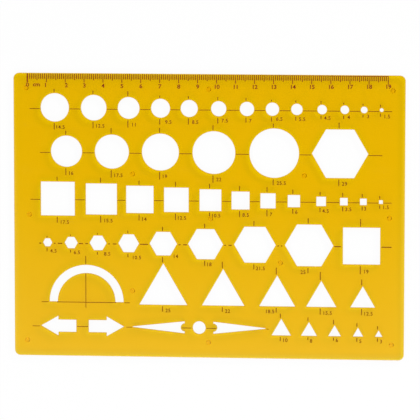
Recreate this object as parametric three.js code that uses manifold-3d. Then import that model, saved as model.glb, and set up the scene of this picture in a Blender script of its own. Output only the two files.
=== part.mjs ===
// Drafting template: a see-through amber sheet with rows of cut-out figures to draw along,
// a printed centimetre scale on its upper edge and small domed risers that lift it off wet ink.
// Millimetres. +X runs along the scale, +Y towards the scale's edge, +Z up.
// The origin lies under the middle of the sheet, on the surface that the risers stand on.
import * as THREE from 'three';
import { mergeVertices } from 'three/addons/utils/BufferGeometryUtils.js';
import Module from 'manifold-3d';

const wasm = await Module();
wasm.setup();

// Sheet
const sheetThickness = 1.2;
const cornerRadius = 3;
const pencilAllowance = 0.5; // every figure is cut this much wider than its nominal size
const figureWall = 2; // figures of two rows closer than this along X count as one above the other

// Risers
const riserDiameter = 3;
const riserFootDiameter = 1.2;
const riserHeight = 1;
const riserEdgeInset = 8; // from the long edges to the risers along them
const riserCornerInset = 6.6; // from the short edges to the corner risers
const riserSideInset = 8; // from the short edges to the risers halfway up them
const riserEdgeWall = 1.1; // between the risers along a long edge and the nearest figures
const rowStartWall = 4.7; // between the left risers and the first figures
const rowEndWall = 1.75; // between the right risers and the last figure of the longest row

// Printed scale
const scaleDivision = 1;
const scaleStart = 7.2; // from the left end of the sheet to the zero tick
const scaleEndInset = 8; // least length left free after the last centimetre
const scaleEdgeInset = 0.2; // from the sheet's edge to the base line
const scaleBaseWidth = 0.3;
const tickWidth = 0.25;
const shortTick = 2.6;
const halfTick = 3.2;
const longTick = 4.5;
const inkThickness = 0.05;

// Figures, by their nominal sizes, and the walls between them along each row
const smallCircleSizes = [14.5, 13, 11, 9.5, 8.5, 7.5, 7, 6.5, 5.5, 4.5, 4, 3, 1.5];
const smallCircleWalls = [6.35, 5.95, 6.1, 5.6, 7, 7.1, 6.1, 6.3, 7.7, 7.1, 6.1, 6.4];
const largeCircleSizes = [16, 17.5, 19, 22, 25.5];
const largeHexagonSize = 29;
const largeCircleWalls = [6.8, 6.9, 7.2, 7.45, 6.75];
const squareSizes = [17.5, 16, 14, 12.5, 11, 9, 7.5, 6, 4.5, 3.5, 3, 1.5];
const squareWalls = [5.85, 4.9, 5.55, 5.75, 5.35, 5.7, 6.35, 8.55, 7.4, 6.45, 6.45];
const hexagonSizes = [4.5, 6.5, 8.5, 10.5, 14, 18, 21.5, 25];
const largeSquareSize = 19;
const hexagonWalls = [6.5, 6.3, 6.25, 5.6, 5.85, 5.75, 4.8, 5];
const triangleSizes = [25, 22, 18.5, 15.5, 12.5];
const triangleWalls = [8.35, 7.7, 7.75, 5.7, 7.3];
const pivotCircleSize = 6.3;
const smallTriangleSizes = [9.8, 8, 6.3, 5, 3.5];
const arrowWalls = [6.6, 4.6, 4.3, 4.05, 3.2, 5.2, 5.85, 6.15, 6.1];

// Rows: how far the first figure stands in from the common start,
// and the least wall between a row's figures and those of the row over it
const smallCircleIndent = 0.1;
const largeCircleIndent = 5.45;
const squareIndent = 0;
const hexagonIndent = 1;
const triangleIndent = 4.4;
const arrowIndent = -0.2;
const wallOverLargeCircles = 6.35;
const wallOverSquares = 7.4;
const wallOverHexagons = 8.8;
const wallOverTriangles = 2.45;
const wallOverArrows = 6.52;

// Half-ring slot for angles
const slotOuterRadius = 19.7;
const slotWidth = 4.4;
const slotLift = 1.1; // its straight ends stand this far above the big triangles' bases

// Arrows
const arrowLength = 18.8;
const arrowHeadLength = 9.3;
const arrowHeadHeight = 10.7;
const arrowShaftHeight = 6.6;

// Needles, each a long wedge with a round notch in its wide end
const needleLength = 27.6;
const needleWideEnd = 6.5;
const needleTip = 0.4;
const needleNotchRadius = 2.1;

// Small triangles of the lowest row
const smallTriangleDrop = 3.6; // from the row's axis down to their bases

// Risers between the figures: off their row's axis, off the middle of a wall, or under a figure
const largeCircleRiserDrop = 11.8;
const leftCircleRiserAside = -1.6;
const rightCircleRiserAside = -0.6;
const squareRiserGap = 4.2;
const hexagonRiserDrop = 9.6;
const slotRiserLift = 7.2;
const slotRiserAside = 0.5;

// Faceting of round edges, and how far a cutter reaches past the faces that it cuts
const chordError = 0.04;
const domeSteps = 3;
const domeSides = 12;
const cutOvertravel = 1;

const riserRadius = riserDiameter / 2;
const sheetBottom = riserHeight;
const sheetTop = sheetBottom + sheetThickness;
const rowStartMargin = riserSideInset + riserRadius + rowStartWall;
const rowEndMargin = riserSideInset + riserRadius + rowEndWall;
const longEdgeMargin = riserEdgeInset + riserRadius + riserEdgeWall;

// Points on a round stretch about (x, y), from one angle to another, both ends included
function arcPoints(x, y, radius, from, to) {
  const stepAngle = 2 * Math.acos(Math.max(0, 1 - chordError / radius));
  const steps = Math.max(2, Math.ceil(Math.abs(to - from) / stepAngle));
  return Array.from({ length: steps + 1 }, (_, i) => {
    const angle = from + ((to - from) * i) / steps;
    return new THREE.Vector2(x + radius * Math.cos(angle), y + radius * Math.sin(angle));
  });
}

function points(...pairs) {
  return pairs.map(([x, y]) => new THREE.Vector2(x, y));
}

// A figure has a width, a reach above and below its row's axis,
// and an outline about the point where its middle meets the axis.
function circle(nominalSize) {
  const radius = (nominalSize + pencilAllowance) / 2;
  const outline = arcPoints(0, 0, radius, 0, 2 * Math.PI).slice(0, -1);
  return { width: 2 * radius, above: radius, below: radius, outline };
}

function square(nominalSize) {
  const half = (nominalSize + pencilAllowance) / 2;
  const outline = points([-half, -half], [half, -half], [half, half], [-half, half]);
  return { width: 2 * half, above: half, below: half, outline };
}

// Its nominal size is measured across two corners, which lie on the row's axis
function hexagon(nominalSize) {
  const sides = 6;
  const radius = (nominalSize + pencilAllowance) / 2;
  const halfFlats = radius * Math.cos(Math.PI / sides);
  const outline = Array.from({ length: sides }, (_, i) => {
    const angle = (i * 2 * Math.PI) / sides;
    return new THREE.Vector2(radius * Math.cos(angle), radius * Math.sin(angle));
  });
  return { width: 2 * radius, above: halfFlats, below: halfFlats, outline };
}

// Its nominal size is its side, and its base lies baseDrop below the row's axis
function triangle(nominalSize, baseDrop) {
  const side = nominalSize + pencilAllowance;
  const height = side * Math.sin(Math.PI / 3);
  const outline = points([-side / 2, -baseDrop], [side / 2, -baseDrop], [0, height - baseDrop]);
  return { width: side, above: height - baseDrop, below: baseDrop, outline };
}

function halfRingSlot() {
  const outline = [
    ...arcPoints(0, slotLift, slotOuterRadius, 0, Math.PI),
    ...arcPoints(0, slotLift, slotOuterRadius - slotWidth, Math.PI, 0),
  ];
  return { width: 2 * slotOuterRadius, above: slotOuterRadius + slotLift, below: -slotLift, outline };
}

// facing is 1 for a figure that points along +X and -1 for one that points along -X
function arrow(facing) {
  const tip = arrowLength / 2;
  const headBase = tip - arrowHeadLength;
  const shaft = arrowShaftHeight / 2;
  const head = arrowHeadHeight / 2;
  const outline = points(
    [-tip, -shaft],
    [headBase, -shaft],
    [headBase, -head],
    [tip, 0],
    [headBase, head],
    [headBase, shaft],
    [-tip, shaft],
  ).map((p) => new THREE.Vector2(p.x * facing, p.y));
  return { width: arrowLength, above: head, below: head, outline };
}

function needle(facing) {
  const half = needleLength / 2;
  const wide = needleWideEnd / 2;
  const outline = [
    ...points([-half, -wide], [half, -needleTip / 2], [half, needleTip / 2], [-half, wide]),
    ...arcPoints(-half, 0, needleNotchRadius, Math.PI / 2, -Math.PI / 2),
  ].map((p) => new THREE.Vector2(p.x * facing, p.y));
  return { width: needleLength, above: wide, below: wide, outline };
}

// Rows from the scale downwards
const rows = [
  {
    indent: smallCircleIndent,
    figures: smallCircleSizes.map(circle),
    walls: smallCircleWalls,
  },
  {
    indent: largeCircleIndent,
    wallOver: wallOverLargeCircles,
    figures: [...largeCircleSizes.map(circle), hexagon(largeHexagonSize)],
    walls: largeCircleWalls,
  },
  {
    indent: squareIndent,
    wallOver: wallOverSquares,
    figures: squareSizes.map(square),
    walls: squareWalls,
  },
  {
    indent: hexagonIndent,
    wallOver: wallOverHexagons,
    figures: [...hexagonSizes.map(hexagon), square(largeSquareSize)],
    walls: hexagonWalls,
  },
  {
    indent: triangleIndent,
    wallOver: wallOverTriangles,
    figures: [halfRingSlot(), ...triangleSizes.map((size) => triangle(size, 0))],
    walls: triangleWalls,
  },
  {
    indent: arrowIndent,
    wallOver: wallOverArrows,
    figures: [
      arrow(-1),
      arrow(1),
      needle(-1),
      circle(pivotCircleSize),
      needle(1),
      ...smallTriangleSizes.map((size) => triangle(size, smallTriangleDrop)),
    ],
    walls: arrowWalls,
  },
];
const [, largeCircleRow, squareRow, hexagonRow, triangleRow] = rows;

// Along X, measured from the left end of the sheet
for (const row of rows) {
  let x = rowStartMargin + row.indent;
  row.figures.forEach((figure, i) => {
    figure.x = x + figure.width / 2;
    x += figure.width + (row.walls[i] ?? 0);
  });
  row.end = x;
}
const sheetLength = Math.max(...rows.map((row) => row.end)) + rowEndMargin;

// The furthest that two figures, one above the other, reach towards each other
function facingReach(upperRow, lowerRow) {
  const reaches = [];
  for (const upper of upperRow.figures) {
    for (const lower of lowerRow.figures) {
      const apart = Math.abs(upper.x - lower.x) - (upper.width + lower.width) / 2;
      if (apart < figureWall) reaches.push(upper.below + lower.above);
    }
  }
  return Math.max(...reaches);
}

// Along Y, measured down from the scale's edge to each row's axis
rows[0].drop = longEdgeMargin + Math.max(...rows[0].figures.map((figure) => figure.above));
for (let i = 1; i < rows.length; i++) {
  rows[i].drop = rows[i - 1].drop + facingReach(rows[i - 1], rows[i]) + rows[i].wallOver;
}
const lastRow = rows.at(-1);
const lowestReach = Math.max(...lastRow.figures.map((figure) => figure.below));
const sheetWidth = lastRow.drop + lowestReach + longEdgeMargin;

// From those measures to the model's own X and Y
const leftEnd = -sheetLength / 2;
const upperEdge = sheetWidth / 2;
const figureCentre = (row, figure) => new THREE.Vector2(leftEnd + figure.x, upperEdge - row.drop);

function extrude(outline, thickness, bottom) {
  const options = { depth: thickness, bevelEnabled: false };
  return new THREE.ExtrudeGeometry(new THREE.Shape(outline), options).translate(0, 0, bottom);
}

// A closed surface as a solid that can be joined and cut
function solid(geometry) {
  geometry.deleteAttribute('normal');
  geometry.deleteAttribute('uv');
  const merged = mergeVertices(geometry);
  const vertProperties = merged.attributes.position.array;
  const triVerts = Uint32Array.from(merged.index.array);
  return new wasm.Manifold(new wasm.Mesh({ numProp: 3, vertProperties, triVerts }));
}

function surface(body) {
  const mesh = body.getMesh();
  const geometry = new THREE.BufferGeometry();
  geometry.setAttribute('position', new THREE.BufferAttribute(mesh.vertProperties, 3));
  geometry.setIndex(new THREE.BufferAttribute(mesh.triVerts, 1));
  geometry.computeVertexNormals();
  return geometry;
}

function templateSheet() {
  const cornerX = sheetLength / 2 - cornerRadius;
  const cornerY = sheetWidth / 2 - cornerRadius;
  const quarter = Math.PI / 2;
  const outline = [
    ...arcPoints(cornerX, cornerY, cornerRadius, 0, quarter),
    ...arcPoints(-cornerX, cornerY, cornerRadius, quarter, 2 * quarter),
    ...arcPoints(-cornerX, -cornerY, cornerRadius, 2 * quarter, 3 * quarter),
    ...arcPoints(cornerX, -cornerY, cornerRadius, 3 * quarter, 4 * quarter),
  ];
  let sheet = solid(extrude(outline, sheetThickness, sheetBottom));
  const cutDepth = sheetThickness + 2 * cutOvertravel;
  for (const row of rows) {
    for (const figure of row.figures) {
      const centre = figureCentre(row, figure);
      const cutter = extrude(figure.outline, cutDepth, sheetBottom - cutOvertravel);
      sheet = sheet.subtract(solid(cutter.translate(centre.x, centre.y, 0)));
    }
  }
  return surface(sheet);
}

// One comb of ink: a base line along the edge with a tick for every division,
// its outline followed along the edge and back from tick to tick
function scalePrint() {
  const centimetre = 10 * scaleDivision;
  const centimetres = Math.floor((sheetLength - scaleStart - scaleEndInset) / centimetre);
  const zero = leftEnd + scaleStart;
  const lastTick = 10 * centimetres;
  const top = upperEdge - scaleEdgeInset;
  const half = tickWidth / 2;
  const outline = points([zero - half, top], [zero + lastTick * scaleDivision + half, top]);
  for (let i = lastTick; i >= 0; i--) {
    const x = zero + i * scaleDivision;
    const tick = i % 10 === 0 ? longTick : i % 5 === 0 ? halfTick : shortTick;
    const root = top - scaleBaseWidth;
    if (i < lastTick) outline.push(...points([x + half, root]));
    outline.push(...points([x + half, top - tick], [x - half, top - tick]));
    if (i > 0) outline.push(...points([x - half, root]));
  }
  return extrude(outline, inkThickness, sheetTop);
}

// A domed pad with a small flat foot, its wide face against the sheet
function inkRiser() {
  const footRadius = riserFootDiameter / 2;
  const dome = Array.from({ length: domeSteps + 1 }, (_, i) => {
    const angle = (i * Math.PI) / (2 * domeSteps);
    const radius = footRadius + (riserRadius - footRadius) * Math.sin(angle);
    return new THREE.Vector2(radius, riserHeight * (1 - Math.cos(angle)));
  });
  const profile = [new THREE.Vector2(0, 0), ...dome, new THREE.Vector2(0, riserHeight)];
  return new THREE.LatheGeometry(profile, domeSides).rotateX(Math.PI / 2);
}

// A place off a row's axis, at the middle of the wall after one of its figures and moved aside from there
function inWallAfter(row, index, aside, lift) {
  const figure = row.figures[index];
  const toMiddleOfWall = (figure.width + row.walls[index]) / 2;
  return figureCentre(row, figure).add(new THREE.Vector2(toMiddleOfWall + aside, lift));
}

function underFigure(row, index, gap) {
  const figure = row.figures[index];
  return figureCentre(row, figure).sub(new THREE.Vector2(0, figure.below + gap));
}

function riserPlaces() {
  const cornerX = -leftEnd - riserCornerInset;
  const sideX = -leftEnd - riserSideInset;
  const edgeY = upperEdge - riserEdgeInset;
  return [
    ...points([-cornerX, edgeY], [0, edgeY], [cornerX, edgeY]),
    ...points([-sideX, 0], [sideX, 0]),
    ...points([-cornerX, -edgeY], [0, -edgeY], [cornerX, -edgeY]),
    inWallAfter(largeCircleRow, 1, leftCircleRiserAside, -largeCircleRiserDrop),
    inWallAfter(largeCircleRow, 4, rightCircleRiserAside, -largeCircleRiserDrop),
    underFigure(squareRow, 4, squareRiserGap),
    inWallAfter(hexagonRow, 6, 0, -hexagonRiserDrop),
    inWallAfter(triangleRow, 0, slotRiserAside, slotRiserLift),
  ];
}

const amber = { color: 0xe4b40a, roughness: 0.2, metalness: 0 };
const ink = { color: 0x2a1c08, roughness: 0.6, metalness: 0 };

function named(name, geometry, finish) {
  const mesh = new THREE.Mesh(geometry, new THREE.MeshStandardMaterial(finish));
  mesh.name = name;
  return mesh;
}

const template = new THREE.Group();
template.add(named('template_sheet', templateSheet(), amber));
template.add(named('scale_print', scalePrint(), ink));
riserPlaces().forEach((place, i) => {
  const riser = named(`ink_riser_${String(i + 1).padStart(2, '0')}`, inkRiser(), amber);
  riser.position.set(place.x, place.y, 0);
  template.add(riser);
});

export default template;
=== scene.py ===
import math

import bmesh
import bpy
from mathutils import Euler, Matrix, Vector
from mathutils.geometry import delaunay_2d_cdt


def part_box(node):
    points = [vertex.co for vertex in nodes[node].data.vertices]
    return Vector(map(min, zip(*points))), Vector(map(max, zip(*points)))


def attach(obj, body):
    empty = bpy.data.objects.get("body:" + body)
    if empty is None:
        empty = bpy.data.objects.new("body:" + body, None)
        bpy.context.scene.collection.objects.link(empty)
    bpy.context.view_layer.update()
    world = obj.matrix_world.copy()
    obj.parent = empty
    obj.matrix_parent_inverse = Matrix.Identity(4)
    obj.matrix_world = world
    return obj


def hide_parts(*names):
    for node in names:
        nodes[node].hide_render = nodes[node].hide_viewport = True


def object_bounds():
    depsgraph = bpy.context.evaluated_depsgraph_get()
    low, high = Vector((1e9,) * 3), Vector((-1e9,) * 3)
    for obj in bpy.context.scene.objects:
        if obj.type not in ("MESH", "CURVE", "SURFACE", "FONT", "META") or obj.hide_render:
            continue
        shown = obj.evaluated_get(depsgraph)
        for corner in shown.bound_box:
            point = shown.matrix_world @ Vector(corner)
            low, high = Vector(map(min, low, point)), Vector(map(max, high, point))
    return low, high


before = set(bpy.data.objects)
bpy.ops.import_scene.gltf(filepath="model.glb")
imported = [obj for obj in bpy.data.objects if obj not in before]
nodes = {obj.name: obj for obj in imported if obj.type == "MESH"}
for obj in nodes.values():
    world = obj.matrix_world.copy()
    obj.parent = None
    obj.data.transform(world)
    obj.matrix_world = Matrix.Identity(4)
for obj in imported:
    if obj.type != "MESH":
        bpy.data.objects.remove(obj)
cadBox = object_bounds()
mm = 0.001

sheetLow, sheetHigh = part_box("template_sheet")
print("frame loaded:", len(nodes), "nodes")


# outlines of the cut figures, read from the sheet's upper face

outlineReading = {
    "keysPerMetre": 1e6,        # corners are told apart to a thousandth of a millimetre
    "flatLimit": 0.02 * mm,     # how far from the upper face a corner may lie
    "softTurn": math.radians(40),    # a smaller turn belongs to a round stretch
    "straightTurn": 0.001,      # below this (radians) the stretch is a straight cut
    "fineStep": 0.25 * mm,      # length of an edge on the rounded outlines
    "rowGap": 9 * mm,           # a larger step down starts the next row
}


def flatKey(point):
    fine = outlineReading["keysPerMetre"]
    return round(point.x * fine), round(point.y * fine)


def upperLoops(node):
    mesh = nodes[node].data
    top = sheetHigh.z
    onTop = {v.index for v in mesh.vertices if top - v.co.z < outlineReading["flatLimit"]}
    places = {flatKey(mesh.vertices[i].co): mesh.vertices[i].co.xy.copy() for i in onTop}
    openEdges = {}
    for polygon in mesh.polygons:
        if not all(i in onTop for i in polygon.vertices):
            continue
        keys = [flatKey(mesh.vertices[i].co) for i in polygon.vertices]
        for a, b in zip(keys, keys[1:] + keys[:1]):
            if openEdges.get(b) and a in openEdges[b]:
                openEdges[b].remove(a)       # shared by two faces, so not on the border
            else:
                openEdges.setdefault(a, []).append(b)
    loops = []
    while any(openEdges.values()):
        start = next(k for k, ends in openEdges.items() if ends)
        chain = [start]
        step = openEdges[start].pop()
        while step != start:
            chain.append(step)
            step = openEdges[step].pop()
        loops.append([places[k] for k in chain])
    return loops


def turnAt(loop, i):
    into = loop[i] - loop[i - 1]
    out = loop[(i + 1) % len(loop)] - loop[i]
    return math.atan2(into.x * out.y - into.y * out.x, into.dot(out))


def roundedOutline(loop):
    count = len(loop)
    turns = [turnAt(loop, i) for i in range(count)]
    fine = []
    for i in range(count):
        j = (i + 1) % count
        a, b = loop[i], loop[j]
        fine.append(a)
        bends = [t for t in (turns[i], turns[j]) if abs(t) < outlineReading["softTurn"]]
        bend = sum(bends) / len(bends) if bends else 0
        if abs(bend) < outlineReading["straightTurn"]:
            continue
        chord = b - a
        radius = chord.length / (2 * math.sin(bend / 2))
        along = chord.normalized()
        aside = Vector((along.y, -along.x))
        steps = max(1, round(chord.length / outlineReading["fineStep"]))
        for k in range(1, steps):
            swing = bend * (k / steps - 0.5)
            rise = radius * (math.cos(swing) - math.cos(bend / 2))
            fine.append((a + b) / 2 + along * radius * math.sin(swing) + aside * rise)
    return fine


def figureOf(loop):
    low = Vector((min(p.x for p in loop), min(p.y for p in loop)))
    high = Vector((max(p.x for p in loop), max(p.y for p in loop)))
    return {"outline": roundedOutline(loop), "low": low, "high": high, "middle": (low + high) / 2}


def lengthAlongScale(loop):
    return max(p.x for p in loop) - min(p.x for p in loop)


loops = sorted(upperLoops("template_sheet"), key=lengthAlongScale)
figures = [figureOf(loop) for loop in loops[:-1]]      # the longest loop is the sheet's own edge
figures.sort(key=lambda figure: -figure["middle"].y)
figureRows = []
lastHeight = math.inf
for figure in figures:
    if lastHeight - figure["middle"].y > outlineReading["rowGap"]:
        figureRows.append([])
    figureRows[-1].append(figure)
    lastHeight = figure["middle"].y
for row in figureRows:
    row.sort(key=lambda figure: figure["middle"].x)
print("figures read:", [len(row) for row in figureRows])


# small helpers for meshes and node trees

def newPiece(name, bm, material):
    mesh = bpy.data.meshes.new(name)
    bm.to_mesh(mesh)
    bm.free()
    mesh.materials.append(material)
    piece = bpy.data.objects.new(name, mesh)
    bpy.context.scene.collection.objects.link(piece)
    return piece


def newMaterial(name):
    material = bpy.data.materials.new(name)
    material.use_nodes = True
    material.node_tree.nodes.clear()
    return material


def addNode(tree, kind, **settings):
    node = tree.nodes.new(kind)
    for key, value in settings.items():
        setattr(node, key, value)
    return node


def setInputs(node, **values):
    for key, value in values.items():
        node.inputs[key.replace("_", " ")].default_value = value
    return node


# surface effects that several materials share

def groupWith(name, inputs, outputs):
    tree = bpy.data.node_groups.new(name, "ShaderNodeTree")
    for label, kind, value in inputs:
        socket = tree.interface.new_socket(label, in_out="INPUT", socket_type=kind)
        socket.default_value = value
    for label, kind in outputs:
        tree.interface.new_socket(label, in_out="OUTPUT", socket_type=kind)
    return tree, addNode(tree, "NodeGroupInput"), addNode(tree, "NodeGroupOutput")


handling = {
    "cloudDetail": 3.0,
    "cloudRoughness": 0.5,
    "scuffDetail": 6.0,
    "scuffRoughness": 0.65,
    "scuffStretch": (0.35, 1.6, 1),     # scuffs run along the sheet
    "scuffFrom": 0.52,          # the noise at which scuffs begin
    "scuffTo": 0.78,            # and at which the plastic is fully scuffed
    "paintedShadeReach": 75 * mm,      # from the middle to where the painted shade ramp ends
}


def makeHandledPlastic():
    # soft tone clouds, mixed with painted shade that deepens the tone towards +Y, fine scuffs and a slight
    # waviness
    tree, given, out = groupWith(
        "handledPlastic",
        [("Pale", "NodeSocketColor", (1, 1, 1, 1)), ("Deep", "NodeSocketColor", (0.9, 0.9, 0.9, 1)),
         ("Smooth", "NodeSocketFloat", 0.04), ("Scuffed", "NodeSocketFloat", 0.2),
         ("Cloud Scale", "NodeSocketFloat", 18), ("Scuff Scale", "NodeSocketFloat", 160),
         ("Drift", "NodeSocketFloat", 0.0)],
        [("Tone", "NodeSocketColor"), ("Roughness", "NodeSocketFloat"), ("Height", "NodeSocketFloat")])
    place = addNode(tree, "ShaderNodeTexCoord")
    clouds = setInputs(addNode(tree, "ShaderNodeTexNoise"), Detail=handling["cloudDetail"],
                       Roughness=handling["cloudRoughness"])
    scuffs = setInputs(addNode(tree, "ShaderNodeTexNoise"), Detail=handling["scuffDetail"],
                       Roughness=handling["scuffRoughness"])
    stretch = setInputs(addNode(tree, "ShaderNodeMapping"), Scale=handling["scuffStretch"])
    split = addNode(tree, "ShaderNodeSeparateXYZ")
    height = setInputs(addNode(tree, "ShaderNodeMapRange"), From_Min=-handling["paintedShadeReach"],
                       From_Max=handling["paintedShadeReach"])
    paintedShadeMix = addNode(tree, "ShaderNodeMix", data_type="FLOAT")
    scuffSpread = setInputs(addNode(tree, "ShaderNodeMapRange"), From_Min=handling["scuffFrom"],
                            From_Max=handling["scuffTo"])
    tone = addNode(tree, "ShaderNodeMix", data_type="RGBA")
    rough = addNode(tree, "ShaderNodeMix", data_type="FLOAT")
    link = tree.links.new
    link(place.outputs["Object"], clouds.inputs["Vector"])
    link(given.outputs["Cloud Scale"], clouds.inputs["Scale"])
    link(place.outputs["Object"], stretch.inputs["Vector"])
    link(stretch.outputs["Vector"], scuffs.inputs["Vector"])
    link(given.outputs["Scuff Scale"], scuffs.inputs["Scale"])
    link(scuffs.outputs["Fac"], scuffSpread.inputs["Value"])
    link(place.outputs["Object"], split.inputs["Vector"])
    link(split.outputs["Y"], height.inputs["Value"])
    # painted shade: the tone factor leans from the random clouds to a ramp along Y, deeper towards +Y
    link(given.outputs["Drift"], paintedShadeMix.inputs["Factor"])
    link(clouds.outputs["Fac"], paintedShadeMix.inputs["A"])
    link(height.outputs["Result"], paintedShadeMix.inputs["B"])
    link(paintedShadeMix.outputs["Result"], tone.inputs["Factor"])
    link(given.outputs["Pale"], tone.inputs["A"])
    link(given.outputs["Deep"], tone.inputs["B"])
    link(scuffSpread.outputs["Result"], rough.inputs["Factor"])
    link(given.outputs["Smooth"], rough.inputs["A"])
    link(given.outputs["Scuffed"], rough.inputs["B"])
    link(tone.outputs["Result"], out.inputs["Tone"])
    link(rough.outputs["Result"], out.inputs["Roughness"])
    link(clouds.outputs["Fac"], out.inputs["Height"])
    return tree


inkWear = {
    "grainDetail": 4.0,
    "grainRoughness": 0.6,
    "patchScale": 120.0,
    "patchDetail": 2.0,
    "wornFrom": 0.2,            # the noise at which wear begins
    "wornTo": 0.42,             # and at which it is full
    "leastRough": 0.42,
    "mostRough": 0.7,
}


def makeWornInk():
    # ink that is thinner in places, so that the plastic's colour comes through
    tree, given, out = groupWith(
        "wornInk",
        [("Full", "NodeSocketColor", (0, 0, 0, 1)), ("Thin", "NodeSocketColor", (0.2, 0.1, 0.02, 1)),
         ("Wear", "NodeSocketFloat", 0.5), ("Grain Scale", "NodeSocketFloat", 900)],
        [("Tone", "NodeSocketColor"), ("Roughness", "NodeSocketFloat"), ("Height", "NodeSocketFloat")])
    place = addNode(tree, "ShaderNodeTexCoord")
    grain = setInputs(addNode(tree, "ShaderNodeTexNoise"), Detail=inkWear["grainDetail"],
                      Roughness=inkWear["grainRoughness"])
    patches = setInputs(addNode(tree, "ShaderNodeTexNoise"), Scale=inkWear["patchScale"],
                        Detail=inkWear["patchDetail"])
    bothGrains = addNode(tree, "ShaderNodeMath", operation="MULTIPLY")
    worn = setInputs(addNode(tree, "ShaderNodeMapRange"), From_Min=inkWear["wornFrom"],
                     From_Max=inkWear["wornTo"])
    share = addNode(tree, "ShaderNodeMath", operation="MULTIPLY")
    tone = addNode(tree, "ShaderNodeMix", data_type="RGBA")
    rough = setInputs(addNode(tree, "ShaderNodeMapRange"), To_Min=inkWear["leastRough"],
                      To_Max=inkWear["mostRough"])
    link = tree.links.new
    link(place.outputs["Object"], grain.inputs["Vector"])
    link(given.outputs["Grain Scale"], grain.inputs["Scale"])
    link(place.outputs["Object"], patches.inputs["Vector"])
    link(grain.outputs["Fac"], bothGrains.inputs[0])
    link(patches.outputs["Fac"], bothGrains.inputs[1])
    link(bothGrains.outputs["Value"], worn.inputs["Value"])
    link(worn.outputs["Result"], share.inputs[0])
    link(given.outputs["Wear"], share.inputs[1])
    link(share.outputs["Value"], tone.inputs["Factor"])
    link(given.outputs["Full"], tone.inputs["A"])
    link(given.outputs["Thin"], tone.inputs["B"])
    link(grain.outputs["Fac"], rough.inputs["Value"])
    link(tone.outputs["Result"], out.inputs["Tone"])
    link(rough.outputs["Result"], out.inputs["Roughness"])
    link(grain.outputs["Fac"], out.inputs["Height"])
    return tree


handledPlastic = makeHandledPlastic()
wornInk = makeWornInk()


# the clear amber plastic

def amberPlastic(look):
    material = newMaterial(look["name"])
    tree = material.node_tree
    wear = addNode(tree, "ShaderNodeGroup", node_tree=handledPlastic)
    setInputs(wear, Pale=look["pale"], Deep=look["deep"], Smooth=look["smooth"], Scuffed=look["scuffed"],
              Cloud_Scale=look["cloudScale"], Scuff_Scale=look["scuffScale"], Drift=look["paintedShadeMix"])
    bump = setInputs(addNode(tree, "ShaderNodeBump"), Strength=look["waviness"], Distance=look["waveHeight"])
    plastic = addNode(tree, "ShaderNodeBsdfPrincipled")
    setInputs(plastic, Transmission_Weight=look["clarity"], IOR=look["bending"])
    depth = setInputs(addNode(tree, "ShaderNodeVolumeAbsorption"), Color=look["depthColour"],
                      Density=look["depthDensity"])
    clear = setInputs(addNode(tree, "ShaderNodeBsdfTransparent"), Color=look["passing"])
    path = addNode(tree, "ShaderNodeLightPath")
    forLamps = addNode(tree, "ShaderNodeMixShader")
    forBounces = addNode(tree, "ShaderNodeMixShader")
    out = addNode(tree, "ShaderNodeOutputMaterial")
    link = tree.links.new
    link(wear.outputs["Tone"], plastic.inputs["Base Color"])
    link(wear.outputs["Roughness"], plastic.inputs["Roughness"])
    link(wear.outputs["Height"], bump.inputs["Height"])
    link(bump.outputs["Normal"], plastic.inputs["Normal"])
    # light that lights the paper below goes straight through and is tinted by the depth
    link(path.outputs["Is Diffuse Ray"], forBounces.inputs[0])
    link(plastic.outputs["BSDF"], forBounces.inputs[1])
    link(clear.outputs["BSDF"], forBounces.inputs[2])
    link(path.outputs["Is Shadow Ray"], forLamps.inputs[0])
    link(forBounces.outputs["Shader"], forLamps.inputs[1])
    link(clear.outputs["BSDF"], forLamps.inputs[2])
    link(forLamps.outputs["Shader"], out.inputs["Surface"])
    link(depth.outputs["Volume"], out.inputs["Volume"])
    return material


amber = {
    "name": "amberSheet",
    "pale": (1.0, 1.0, 1.0, 1),
    "deep": (0.95, 0.945, 0.93, 1),
    # painted shade: this share of the tone deepens steadily towards the scale's edge (+Y), darker where less
    # light fell
    "paintedShadeMix": 0.7,
    "passing": (1, 1, 1, 1),
    "clarity": 1.0,
    "smooth": 0.03,
    "scuffed": 0.16,
    "cloudScale": 16,
    "scuffScale": 170,
    "waviness": 0.15,
    "waveHeight": 0.05 * mm,
    "bending": 1.49,
    "depthColour": (0.9945, 0.952, 0.009, 1),
    "depthDensity": 5800,
}
amberSheet = amberPlastic(amber)
# the cut edges are matt and let less light through
edgeLook = dict(amber, name="amberCutEdge", smooth=0.25, scuffed=0.45, scuffScale=900, waviness=0.3,
                pale=(0.95, 0.6, 0.03, 1), deep=(0.9, 0.5, 0.02, 1),
                passing=(0.85, 0.85, 0.85, 1), clarity=0.45)
amberCutEdge = amberPlastic(edgeLook)
# the risers are a warmer tone and bend the light less
riserLook = dict(amber, name="riserPlastic", smooth=0.02, scuffed=0.1, cloudScale=60, waviness=0.1,
                 pale=(1.0, 0.91, 0.75, 1), deep=(1.0, 0.89, 0.7, 1), paintedShadeMix=0.0,
                 bending=1.2, depthColour=(1.0, 0.954, 0.009, 1), depthDensity=80)
riserPlastic = amberPlastic(riserLook)


# printing ink

def printingInk(look):
    material = newMaterial(look["name"])
    tree = material.node_tree
    wear = addNode(tree, "ShaderNodeGroup", node_tree=wornInk)
    setInputs(wear, Full=look["full"], Thin=look["thin"], Wear=look["wear"], Grain_Scale=look["grainScale"])
    bump = setInputs(addNode(tree, "ShaderNodeBump"), Strength=look["grainStrength"],
                     Distance=look["grainHeight"])
    ink = setInputs(addNode(tree, "ShaderNodeBsdfPrincipled"), IOR=look["bending"],
                    Specular_IOR_Level=look["shine"])
    out = addNode(tree, "ShaderNodeOutputMaterial")
    link = tree.links.new
    link(wear.outputs["Tone"], ink.inputs["Base Color"])
    link(wear.outputs["Roughness"], ink.inputs["Roughness"])
    link(wear.outputs["Height"], bump.inputs["Height"])
    link(bump.outputs["Normal"], ink.inputs["Normal"])
    link(ink.outputs["BSDF"], out.inputs["Surface"])
    return material


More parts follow.
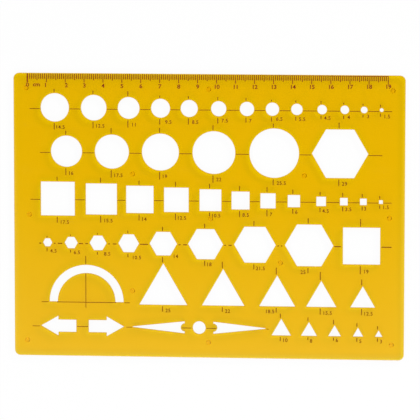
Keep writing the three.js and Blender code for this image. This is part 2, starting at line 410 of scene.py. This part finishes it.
scaleInkLook = {
    "name": "scaleInk",
    "full": (0.22, 0.012, 0.002, 1),
    "thin": (0.38, 0.055, 0.004, 1),
    "wear": 0.5,
    "grainScale": 900,
    "grainHeight": 0.01 * mm,
    "grainStrength": 0.3,
    "bending": 1.5,
    "shine": 0.2,
}
scaleInk = printingInk(scaleInkLook)
# the lines and sizes are a darker print with a finer grain
guideInkLook = dict(scaleInkLook, name="guideInk", full=(0.16, 0.012, 0.002, 1),
                    thin=(0.34, 0.06, 0.004, 1), grainScale=1200, grainHeight=0.008 * mm)
guideInk = printingInk(guideInkLook)
print("materials made")


# the sheet: the same outlines as the solid, with finer arcs and eased edges

sheet = {
    "cornerRadius": 3 * mm,
    "cornerSteps": 24,
    "easing": 0.12 * mm,        # rounding along every cut edge
    "easingSteps": 3,
    "rimWidth": 2.8 * mm,       # the upper face falls off softly towards the outer edge
    "rimDrop": 0.15 * mm,
    "rimSteps": 7,
    "mitreLimit": 0.35,         # keeps the needles' tips from running out
    "sameSpot": 1e-9,           # corners nearer than this (metres) count as one
    "inkClearance": 0.004 * mm,      # the print lies this far above the plastic
    "smoothBelow": math.radians(12),
}


def sheetOutline():
    radius = sheet["cornerRadius"]
    points = []
    corners = [(sheetHigh.x, sheetHigh.y, 0), (sheetLow.x, sheetHigh.y, 90),
               (sheetLow.x, sheetLow.y, 180), (sheetHigh.x, sheetLow.y, 270)]
    for x, y, start in corners:
        centre = Vector((x - math.copysign(radius, x), y - math.copysign(radius, y)))
        for k in range(sheet["cornerSteps"] + 1):
            angle = math.radians(start + 90 * k / sheet["cornerSteps"])
            points.append(centre + radius * Vector((math.cos(angle), math.sin(angle))))
    return points


def moved(loop, distance):
    # shifts an outline to the left of its direction, into the plastic
    count = len(loop)
    shifted = []
    for i in range(count):
        into = (loop[i] - loop[i - 1]).normalized()
        out = (loop[(i + 1) % count] - loop[i]).normalized()
        left = Vector((-into.y - out.y, into.x + out.x))
        share = max(left.length / 2, sheet["mitreLimit"])
        shifted.append(loop[i] + left.normalized() * distance / share)
    return shifted


def rimDrop(point, inset):
    # none along the scale's edge, so that the print lies flat there
    width = sheet["rimWidth"]
    reach = 1 - min(1, inset / width)
    fromScale = (sheetHigh.y - point.y - width) / (2 * width)
    return sheet["rimDrop"] * reach * reach * min(1, max(0, fromScale))


def area(loop):
    return sum(a.x * b.y - a.y * b.x for a, b in zip(loop, loop[1:] + loop[:1])) / 2


def wallRows(loop, bottom, top):
    easing, steps = sheet["easing"], sheet["easingSteps"]
    swings = [math.pi / 2 * k / steps for k in range(steps + 1)]
    upper = [(easing * (1 - math.sin(s)), top - easing * (1 - math.cos(s))) for s in swings]
    lower = [(inset, bottom + top - z) for inset, z in reversed(upper)]
    return [[(p.x, p.y, z) for p in moved(loop, inset)] for inset, z in upper + lower]


def rimRows(loop, top):
    easing, steps = sheet["easing"], sheet["rimSteps"]
    insets = [easing + (sheet["rimWidth"] - easing) * k / steps for k in range(steps, 0, -1)]
    return [[(p.x, p.y, top - rimDrop(p, inset)) for p in moved(loop, inset)] for inset in insets]


def within(point, row):
    # counts the row's edges to the right of the point
    crossed = 0
    for a, b in zip(row, row[1:] + row[:1]):
        if (a.co.y > point.y) != (b.co.y > point.y):
            share = (point.y - a.co.y) / (b.co.y - a.co.y)
            crossed += point.x < a.co.x + share * (b.co.x - a.co.x)
    return crossed % 2 == 1


def fillFlat(bm, rows, up):
    # triangles between the outer row and the holes' rows
    corners = [v for row in rows for v in row]
    owners = [k for k, row in enumerate(rows) for v in row]
    borders = []
    for row in rows:
        first = len(borders)
        borders += [(first + i, first + (i + 1) % len(row)) for i in range(len(row))]
    insideBorders = 1
    made = delaunay_2d_cdt([v.co.xy for v in corners], borders, [], insideBorders, sheet["sameSpot"])
    triangles, sources = made[2], made[3]
    for triangle in triangles:
        picked = [sources[i][0] for i in triangle]
        face = [corners[i] for i in picked]
        middle = sum((v.co for v in face), Vector()) / 3
        hole = owners[picked[0]]
        ofOneHole = hole > 0 and all(owners[i] == hole for i in picked)
        if ofOneHole and within(middle, rows[hole]):
            continue
        bm.faces.new(face if up else face[::-1])


def buildSheet():
    top = sheetHigh.z - sheet["inkClearance"]
    bm = bmesh.new()
    upperRows, lowerRows = [], []
    outlines = [sheetOutline()]
    for figure in figures:
        loop = figure["outline"]
        outlines.append(loop if area(loop) < 0 else loop[::-1])     # holes run clockwise
    for loop in outlines:
        wall = wallRows(loop, sheetLow.z, top)
        rim = rimRows(loop, top) if loop is outlines[0] else []
        if rim:
            half = len(wall) // 2
            wall[:half] = [[(x, y, z - rimDrop(Vector((x, y)), 0)) for x, y, z in row] for row in wall[:half]]
        rows = [[bm.verts.new(p) for p in row] for row in rim + wall]
        count = len(loop)
        for level, (over, under) in enumerate(zip(rows, rows[1:])):
            for i in range(count):
                j = (i + 1) % count
                face = bm.faces.new((over[j], over[i], under[i], under[j]))
                face.material_index = 0 if level < len(rim) else 1
        upperRows.append(rows[0])
        lowerRows.append(rows[-1])
    fillFlat(bm, upperRows, True)
    fillFlat(bm, lowerRows, False)
    bmesh.ops.recalc_face_normals(bm, faces=bm.faces)
    stray = [e for e in bm.edges if len(e.link_faces) != 2]
    print("sheet:", len(bm.faces), "faces,", len(stray), "stray edges")
    for face in bm.faces:
        face.smooth = True
    piece = newPiece("amber_template_sheet", bm, amberSheet)
    piece.data.materials.append(amberCutEdge)
    piece.data.set_sharp_from_angle(angle=sheet["smoothBelow"])
    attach(piece, "root")
    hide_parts("template_sheet")


buildSheet()


# the ink risers: low domes under the sheet

riser = {
    "footDiameter": 1.2 * mm,
    "sides": 40,
    "steps": 10,
    "seatGap": 0.004 * mm,      # a breath of air under the sheet and over the paper
}


def buildRiser(node):
    low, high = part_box(node)
    centre = (low + high) / 2
    rimRadius = (high.x - low.x) / 2
    footRadius = riser["footDiameter"] / 2
    foot, top = low.z + riser["seatGap"], high.z - riser["seatGap"]
    profile = []
    for k in range(riser["steps"] + 1):
        way = k / riser["steps"]
        rise = way * way * (3 - 2 * way)     # a soft foot, a steep side and a soft run-out under the sheet
        profile.append((footRadius + (rimRadius - footRadius) * way, foot + (top - foot) * rise))
    bm = bmesh.new()
    rings = []
    for reach, z in profile:
        angles = [2 * math.pi * k / riser["sides"] for k in range(riser["sides"])]
        rings.append([bm.verts.new((centre.x + reach * math.cos(a), centre.y + reach * math.sin(a), z))
                      for a in angles])
    for under, over in zip(rings, rings[1:]):
        for i in range(riser["sides"]):
            j = (i + 1) % riser["sides"]
            bm.faces.new((under[i], under[j], over[j], over[i])).smooth = True
    for edge in bm.faces.new(rings[0][::-1]).edges:
        edge.smooth = False
    for edge in bm.faces.new(rings[-1]).edges:
        edge.smooth = False
    bmesh.ops.recalc_face_normals(bm, faces=bm.faces)
    piece = newPiece(node.replace("ink_riser", "ink_riser_dome"), bm, riserPlastic)
    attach(piece, "root")
    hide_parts(node)


riserNodes = sorted(name for name in nodes if name.startswith("ink_riser"))
for name in riserNodes:
    buildRiser(name)
print("risers:", len(riserNodes))


# printed lines, ticks and numbers

guide = {
    "width": 0.32 * mm,
    "tickWidth": 0.4 * mm,
    "thickness": 0.03 * mm,
    "sideShift": -0.45 * mm,    # the print sits a little off the cut figures
    "sideShrink": 0.0017,       # and is narrower by this share
    "upperGap": 0.55 * mm,
    "lowerGap": 0.75 * mm,
    "dashGap": 0.35 * mm,
    "letterHeight": 1.85 * mm,
    "letterWidth": 1.0,         # of the font's own width
    "letterSpacing": 1.1,
    "letterWeight": 0.03 * mm,
    "letterSteps": 3,           # edges to a bend of the letters
    "weldReach": 0.0001 * mm,
}

# each figure's number, the ticks above and below it, and the number's place aside and below (mm);
# a number with a negative place stands to the left of its tick
figurePrint = [
    [("14.5", 1.8, 3.4, 0.7, 3.7), ("12.5", 1.7, 3.4, 1.2, 3.7), ("11", 2.5, 3.8, 1.8, 3.9),
     ("9.5", 1.1, 2.8, 2.8, 3.1), ("8.5", 1.4, 3.1, 1.9, 3.5), ("7.5", 1.6, 3.0, 1.9, 3.1),
     ("7", 1.6, 2.7, 1.6, 3.3), ("6.5", 0.9, 2.2, 2.4, 2.5), ("5.5", 1.2, 2.1, 1.6, 3.0),
     ("4.5", 1.5, 1.8, 1.6, 2.8), ("4", 1.0, 1.8, 2.0, 2.5), ("3", 1.0, 1.4, 2.0, 2.5),
     ("1.5", 1.3, 1.7, 1.6, 3.2)],
    [("16", 2.1, 3.6, 1.2, 4.2), ("17.5", 2.9, 4.0, 1.2, 4.4), ("19", 2.5, 3.9, 1.2, 3.9),
     ("22", 2.8, 4.0, 1.7, 3.8), ("25.5", 2.0, 3.1, 1.8, 3.6), ("29", 3.0, 3.4, 1.6, 3.9)],
    [("17.5", 2.1, 3.0, 1.4, 4.3), ("15.5", 2.5, 3.4, 1.5, 4.0), ("14", 2.2, 3.1, 1.2, 4.0),
     ("12.5", 2.5, 3.4, 0.8, 3.9), ("10.5", 2.3, 2.0, 0.9, 3.2), ("8.5", 2.4, 3.1, 1.5, 3.7),
     ("7", 2.8, 3.4, 1.4, 4.0), ("6", 2.3, 2.6, 1.2, 3.4), ("4.5", 2.0, 2.3, 1.2, 3.4),
     ("3.5", 2.1, 2.3, 1.2, 2.9), ("3", 1.9, 2.0, 0.9, 2.7), ("1.5", 1.7, 1.7, 1.4, 2.6)],
    [("4.5", 0.7, 1.9, 1.7, 3.2), ("6.5", 0.7, 1.4, 1.7, 3.0), ("8.5", 0.8, 1.5, 3.5, 2.7),
     ("10.5", 1.4, 1.9, 2.1, 3.6), ("14", 2.1, 2.8, 5.5, 1.2), ("18", 2.3, 2.7, 0.9, 3.5),
     ("21.5", 2.5, 2.7, 1.0, 3.8), ("25", 2.8, 2.9, -1.2, 4.0), ("19", 4.0, 4.4, 1.6, 4.6)],
    [None, ("25", 0, 2.8, 1.5, 3.8), ("22", 3.4, 2.5, 1.4, 3.7), ("18.5", 3.6, 2.4, -0.9, 3.6),
     ("15.5", 4.2, 3.2, 1.3, 4.0), ("12.5", 3.1, 3.2, 1.0, 4.1)],
    [None, None, None, None, None, ("10", 2.2, 2.1, 1.1, 3.3), ("8", 2.0, 1.3, 1.0, 3.5),
     ("6", 2.3, 1.5, 1.1, 3.0), ("5", 1.9, 2.0, 1.2, 3.3), ("3", 1.7, 1.8, 1.2, 3.3)],
]

# where each row's centre line starts and ends, and how far it sits under the figures' middles (mm)
rowLines = [
    {"from": -94.5, "to": 96.0, "drop": 0.72},
    {"from": -89.1, "to": 91.0, "drop": 0.72},
    {"from": -94.3, "to": 96.1, "drop": 0.48},
]

# the fourth row's line is broken up: dashes after each figure's right end (mm)
fourthRow = {
    "from": -89.8,
    "to": -88.6,
    "drop": 0.42,
    "width": 0.45 * mm,
    "dashes": [[(0.8, 1.8), (2.9, 5.3)], [(0.6, 2.8), (4.1, 5.4)], [(0.9, 1.8), (3.4, 5.4)], [(0.6, 4.7)],
               [(0.8, 1.9), (3.3, 5.3)], [(0.6, 1.5), (2.9, 4.5)], [(0.8, 1.8), (2.7, 3.5)], [(0.4, 4.1)],
               [(0.7, 5.9)]],
}

# lines through the half ring: the upright one and the base line (mm)
halfRing = {
    "upright": (-21.6, -49.3),
    "uprightGap": (0.4, 4.6),   # off the slot's upper edge, outside and inside
    "base": (-88.6, -41.7),
    "baseGap": (0.4, 4.0),      # off the slot's outer ends, outside and inside
    "baseDrop": 0.2,
    "width": 0.34,
}

# pieces of the lowest row's line (mm)
arrowRow = {
    "drop": 0.25,
    "dashes": [(-93.5, -89.6), (-69.8, -63.9), (-43.6, -40.6), (-14.1, -9.0), (-1.1, 4.2), (30.6, 31.9)],
}


def printPlace(x):
    return x + guide["sideShift"] - guide["sideShrink"] * x


def printLayer():
    return sheetHigh.z, sheetHigh.z + guide["thickness"]


def addPatch(bm, corners):
    low, high = printLayer()
    under = [bm.verts.new((x, y, low)) for x, y in corners]
    over = [bm.verts.new((x, y, high)) for x, y in corners]
    bm.faces.new(under[::-1])
    bm.faces.new(over)
    for i in range(len(corners)):
        j = (i + 1) % len(corners)
        bm.faces.new((under[i], under[j], over[j], over[i]))


def addBar(bm, x0, y0, x1, y1):
    addPatch(bm, [(x0, y0), (x1, y0), (x1, y1), (x0, y1)])


def addAcross(bm, x0, x1, y, width=guide["width"]):
    addBar(bm, x0, y - width / 2, x1, y + width / 2)


def addUpright(bm, x, y0, y1, width):
    addBar(bm, x - width / 2, y0, x + width / 2, y1)


def addRowLine(bm, row, line):
    gap = guide["dashGap"]
    y = sum(f["middle"].y for f in row) / len(row) - line["drop"] * mm
    ends = [line["from"] * mm] + [f["high"].x + gap for f in row]
    starts = [f["low"].x - gap for f in row] + [line["to"] * mm]
    for x0, x1 in zip(ends, starts):
        addAcross(bm, x0, x1, y)


def addFourthRow(bm, row):
    y = sum(f["middle"].y for f in row) / len(row) - fourthRow["drop"] * mm
    width = fourthRow["width"]
    addAcross(bm, fourthRow["from"] * mm, fourthRow["to"] * mm, y, width)
    for figure, dashes in zip(row, fourthRow["dashes"]):
        for a, b in dashes:
            addAcross(bm, figure["high"].x + a * mm, figure["high"].x + b * mm, y, width)


def addHalfRing(bm, slot):
    width = halfRing["width"] * mm
    x = printPlace(slot["middle"].x)
    upper, lower = (v * mm for v in halfRing["upright"])
    outside, inside = (v * mm for v in halfRing["uprightGap"])
    addUpright(bm, x, slot["high"].y + outside, upper, width)
    addUpright(bm, x, lower, slot["high"].y - inside, width)
    left, right = (v * mm for v in halfRing["base"])
    outside, inside = (v * mm for v in halfRing["baseGap"])
    y = slot["low"].y - halfRing["baseDrop"] * mm
    addAcross(bm, left, slot["low"].x - outside, y, width)
    addAcross(bm, slot["low"].x + inside, slot["high"].x - inside, y, width)
    addAcross(bm, slot["high"].x + outside, right, y, width)


def addArrowRow(bm, row):
    y = row[0]["middle"].y - arrowRow["drop"] * mm
    for a, b in arrowRow["dashes"]:
        addAcross(bm, a * mm, b * mm, y)


def addTicks(bm, figure, entry):
    x = printPlace(figure["middle"].x)
    _, above, below, _, _ = entry
    if above:
        start = figure["high"].y + guide["upperGap"]
        addUpright(bm, x, start, start + above * mm, guide["tickWidth"])
    start = figure["low"].y - guide["lowerGap"]
    addUpright(bm, x, start - below * mm, start, guide["tickWidth"])


def buildGuideLines():
    bm = bmesh.new()
    *upperRows, hexagonRow, triangleRow, lowestRow = figureRows
    for row, line in zip(upperRows, rowLines):
        addRowLine(bm, row, line)
    addFourthRow(bm, hexagonRow)
    addHalfRing(bm, triangleRow[0])
    addArrowRow(bm, lowestRow)
    for row, entries in zip(figureRows, figurePrint):
        for figure, entry in zip(row, entries):
            if entry:
                addTicks(bm, figure, entry)
    piece = newPiece("guide_lines", bm, guideInk)
    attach(piece, "root")


buildGuideLines()


def letterSize(height):
    # the font's own height of a figure at size 1
    curve = bpy.data.curves.new("sample", "FONT")
    curve.body = "0"
    sample = bpy.data.objects.new("sample", curve)
    bpy.context.scene.collection.objects.link(sample)
    bpy.context.view_layer.update()
    own = sample.dimensions.y
    bpy.data.objects.remove(sample)
    return height / own


def addWords(bm, words, x, baseline, align, look):
    curve = bpy.data.curves.new("words", "FONT")
    curve.body = words
    curve.size = letterSize(look["height"])
    curve.align_x = align
    curve.space_character = look["spacing"]
    curve.offset = look["weight"]
    curve.resolution_u = guide["letterSteps"]
    curve.extrude = guide["thickness"] / 2
    holder = bpy.data.objects.new("words", curve)
    bpy.context.scene.collection.objects.link(holder)
    shape = holder.evaluated_get(bpy.context.evaluated_depsgraph_get()).to_mesh()
    part = bmesh.new()
    part.from_mesh(shape)
    bmesh.ops.remove_doubles(part, verts=part.verts, dist=guide["weldReach"])
    bmesh.ops.scale(part, vec=(look["width"], 1, 1), verts=part.verts)
    bmesh.ops.translate(part, vec=(x, baseline, sheetHigh.z + guide["thickness"] / 2), verts=part.verts)
    mesh = bpy.data.meshes.new("words")
    part.to_mesh(mesh)
    part.free()
    bm.from_mesh(mesh)
    bpy.data.objects.remove(holder)


def buildSizeNumbers():
    bm = bmesh.new()
    look = {"height": guide["letterHeight"], "width": guide["letterWidth"],
            "spacing": guide["letterSpacing"], "weight": guide["letterWeight"]}
    for row, entries in zip(figureRows, figurePrint):
        for figure, entry in zip(row, entries):
            if not entry:
                continue
            words, _, _, aside, down = entry
            x = printPlace(figure["middle"].x) + aside * mm
            addWords(bm, words, x, figure["low"].y - down * mm, "LEFT" if aside > 0 else "RIGHT", look)
    stray = [e for e in bm.edges if len(e.link_faces) != 2]
    print("size numbers:", len(bm.faces), "faces,", len(stray), "stray edges")
    piece = newPiece("size_numbers", bm, guideInk)
    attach(piece, "root")


buildSizeNumbers()

scale = {
    "zeroPlace": -95.5 * mm,
    "division": 0.997 * mm,     # the printed scale is a touch short
    "last": 19,                 # centimetres
    "perNumber": 10,            # ticks from one number to the next
    "perHalf": 5,
    "tickWidth": 0.43 * mm,
    "longWidth": 0.4 * mm,
    "startWidth": 0.7 * mm,     # the first tick is bolder, to the left
    "edgeGap": 0.3 * mm,
    "short": 2.95 * mm,
    "half": 3.55 * mm,
    "long": 4.75 * mm,
    "tilt": 0.15 * mm,          # the print hangs lower at its start
    "lineStart": 90,            # the base line comes out from here on (mm)
    "lineWidth": 0.4 * mm,
    "lineGap": 0.01 * mm,       # the line stands a hair off the ticks
    "numberHeight": 2.1 * mm,
    "numberWidth": 1.1,
    "numberSpacing": 0.92,
    "numberInset": 7.8 * mm,
    "numberTilt": 0.4 * mm,     # the numbers climb towards the scale's end
    "numberArch": 0.6 * mm,     # and stand higher at both ends
    "numberAside": 0.05 * mm,
    "numberShift": {0: -0.1 * mm, 1: -0.5 * mm, 2: 0.55 * mm, 3: 0.15 * mm},    # in place of numberAside
    "numberWeight": 0.06 * mm,
    "unit": "cm",
    "unitPlace": 4.7 * mm,
    "unitInset": 7.0 * mm,
}


def scalePlace(k):
    return scale["zeroPlace"] + k * scale["division"]


def buildScaleComb():
    bm = bmesh.new()
    count = scale["last"] * scale["perNumber"]
    top = sheetHigh.y - scale["edgeGap"]
    for k in range(count + 1):
        atNumber = k % scale["perNumber"] == 0
        atHalf = k % scale["perHalf"] == 0
        length = scale["long"] if atNumber else scale["half"] if atHalf else scale["short"]
        width = scale["longWidth"] if atNumber else scale["tickWidth"]
        extra = scale["startWidth"] - width if k == 0 else 0
        end = sheetHigh.y - length - scale["tilt"] * (1 - k / count)
        addUpright(bm, scalePlace(k) - extra / 2, end, top, width + extra)
    # the base line widens out from the edge, between the ticks
    clear = scale["tickWidth"] / 2 + scale["lineGap"]
    for k in range(scale["lineStart"], count):
        x0 = scalePlace(k) + clear
        x1 = scalePlace(k + 1) - clear
        depth = scale["lineWidth"] * (k + 1 - scale["lineStart"]) / (count - scale["lineStart"])
        addBar(bm, x0, top - depth, x1, top)
    piece = newPiece("scale_comb", bm, scaleInk)
    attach(piece, "root")
    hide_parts("scale_print")


buildScaleComb()


def buildScaleNumerals():
    bm = bmesh.new()
    look = {"height": scale["numberHeight"], "width": scale["numberWidth"],
            "spacing": scale["numberSpacing"], "weight": scale["numberWeight"]}
    for k in range(scale["last"] + 1):
        share = k / scale["last"]
        rise = scale["numberTilt"] * share + scale["numberArch"] * (2 * share - 1) ** 2
        baseline = sheetHigh.y - scale["numberInset"] + rise
        place = scalePlace(k * scale["perNumber"]) + scale["numberShift"].get(k, scale["numberAside"])
        addWords(bm, str(k), place, baseline, "CENTER", look)
    addWords(bm, scale["unit"], scalePlace(0) + scale["unitPlace"], sheetHigh.y - scale["unitInset"],
             "CENTER", look)
    piece = newPiece("scale_numerals", bm, scaleInk)
    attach(piece, "root")


buildScaleNumerals()
print("print made")


# floor, light and camera

floorLook = {
    "half": 3.0,            # metres from the middle to each side
    "paper": (0.96, 0.96, 0.96, 1),
    "seenLift": 0.93,       # how far plain white covers the paper's own shading
    "mirrorLift": 0.4,      # the same, seen in or through the plastic
}


def buildFloor():
    material = newMaterial("paperFloor")
    tree = material.node_tree
    paper = setInputs(addNode(tree, "ShaderNodeBsdfDiffuse"), Color=floorLook["paper"])
    white = setInputs(addNode(tree, "ShaderNodeEmission"), Strength=1.0)
    path = addNode(tree, "ShaderNodeLightPath")
    seen = addNode(tree, "ShaderNodeMixShader")
    seenLift = addNode(tree, "ShaderNodeMath", operation="MULTIPLY")
    seenLift.inputs[1].default_value = floorLook["seenLift"]
    mirrorLift = addNode(tree, "ShaderNodeMath", operation="MULTIPLY")
    mirrorLift.inputs[1].default_value = floorLook["mirrorLift"]
    out = addNode(tree, "ShaderNodeOutputMaterial")
    anyMirror = addNode(tree, "ShaderNodeMath", operation="MAXIMUM")
    anyView = addNode(tree, "ShaderNodeMath", operation="MAXIMUM")
    link = tree.links.new
    link(path.outputs["Is Glossy Ray"], anyMirror.inputs[0])
    link(path.outputs["Is Transmission Ray"], anyMirror.inputs[1])
    link(anyMirror.outputs["Value"], mirrorLift.inputs[0])
    link(path.outputs["Is Camera Ray"], seenLift.inputs[0])
    link(seenLift.outputs["Value"], anyView.inputs[0])
    link(mirrorLift.outputs["Value"], anyView.inputs[1])
    link(anyView.outputs["Value"], seen.inputs[0])
    link(paper.outputs["BSDF"], seen.inputs[1])
    link(white.outputs["Emission"], seen.inputs[2])
    link(seen.outputs["Shader"], out.inputs["Surface"])
    bm = bmesh.new()
    half = floorLook["half"]
    bm.faces.new([bm.verts.new((x * half, y * half, cadBox[0].z))
                  for x, y in ((-1, -1), (1, -1), (1, 1), (-1, 1))])
    floor = newPiece("paper_floor", bm, material)


buildFloor()

studio = {
    "wall": (0.79, 0.79, 0.79, 1),
    "panel": (0.02, 0.02, 0.02, 1),
    "panelWay": (-0.08, 0.12, 0.99),     # a dark panel hangs here, so that the plastic mirrors no white
    "panelInner": 0.225,
    "panelOuter": 0.33,
    "lamps": {
        "far_lamp": {"place": (1.6, 1.6, 0.95), "size": (1.6, 0.2), "power": 23},
        "front_lamp": {"place": (0.1, -0.42, 0.36), "size": (0.45, 0.45), "power": 0.85},
    },
}


def buildStudio():
    world = bpy.data.worlds.new("studio")
    bpy.context.scene.world = world
    world.use_nodes = True
    tree = world.node_tree
    tree.nodes.clear()
    way = addNode(tree, "ShaderNodeTexCoord")
    apart = addNode(tree, "ShaderNodeVectorMath", operation="DISTANCE")
    apart.inputs[1].default_value = studio["panelWay"]
    fade = addNode(tree, "ShaderNodeMapRange", interpolation_type="SMOOTHSTEP")
    setInputs(fade, From_Min=studio["panelInner"], From_Max=studio["panelOuter"])
    tone = addNode(tree, "ShaderNodeMix", data_type="RGBA")
    tone.inputs["A"].default_value = studio["panel"]
    tone.inputs["B"].default_value = studio["wall"]
    shine = addNode(tree, "ShaderNodeBackground")
    out = addNode(tree, "ShaderNodeOutputWorld")
    link = tree.links.new
    link(way.outputs["Generated"], apart.inputs[0])
    link(apart.outputs["Value"], fade.inputs["Value"])
    link(fade.outputs["Result"], tone.inputs["Factor"])
    link(tone.outputs["Result"], shine.inputs["Color"])
    link(shine.outputs["Background"], out.inputs["Surface"])
    for name, look in studio["lamps"].items():
        lamp = bpy.data.lights.new(name, "AREA")
        lamp.shape = "RECTANGLE"
        lamp.size, lamp.size_y = look["size"]
        lamp.energy = look["power"]
        holder = bpy.data.objects.new(name, lamp)
        holder.location = look["place"]
        holder.rotation_euler = (-Vector(look["place"])).to_track_quat("-Z", "Y").to_euler()
        bpy.context.scene.collection.objects.link(holder)


buildStudio()

view = {
    "place": (163.0 * mm, 214.6 * mm, 1800 * mm),
    "turn": (-6.666, 5.16, 0.039),      # degrees
    "lens": 296.57,
    "sensor": 36,
    "nearest": 0.01,
}


def buildCamera():
    data = bpy.data.cameras.new("camera")
    data.lens = view["lens"]
    data.sensor_width = view["sensor"]
    data.clip_start = view["nearest"]
    camera = bpy.data.objects.new("camera", data)
    camera.location = view["place"]
    camera.rotation_euler = Euler([math.radians(a) for a in view["turn"]])
    bpy.context.scene.collection.objects.link(camera)
    bpy.context.scene.camera = camera


buildCamera()
bpy.context.scene.view_settings.view_transform = "Standard"
print("floor, light and camera set")
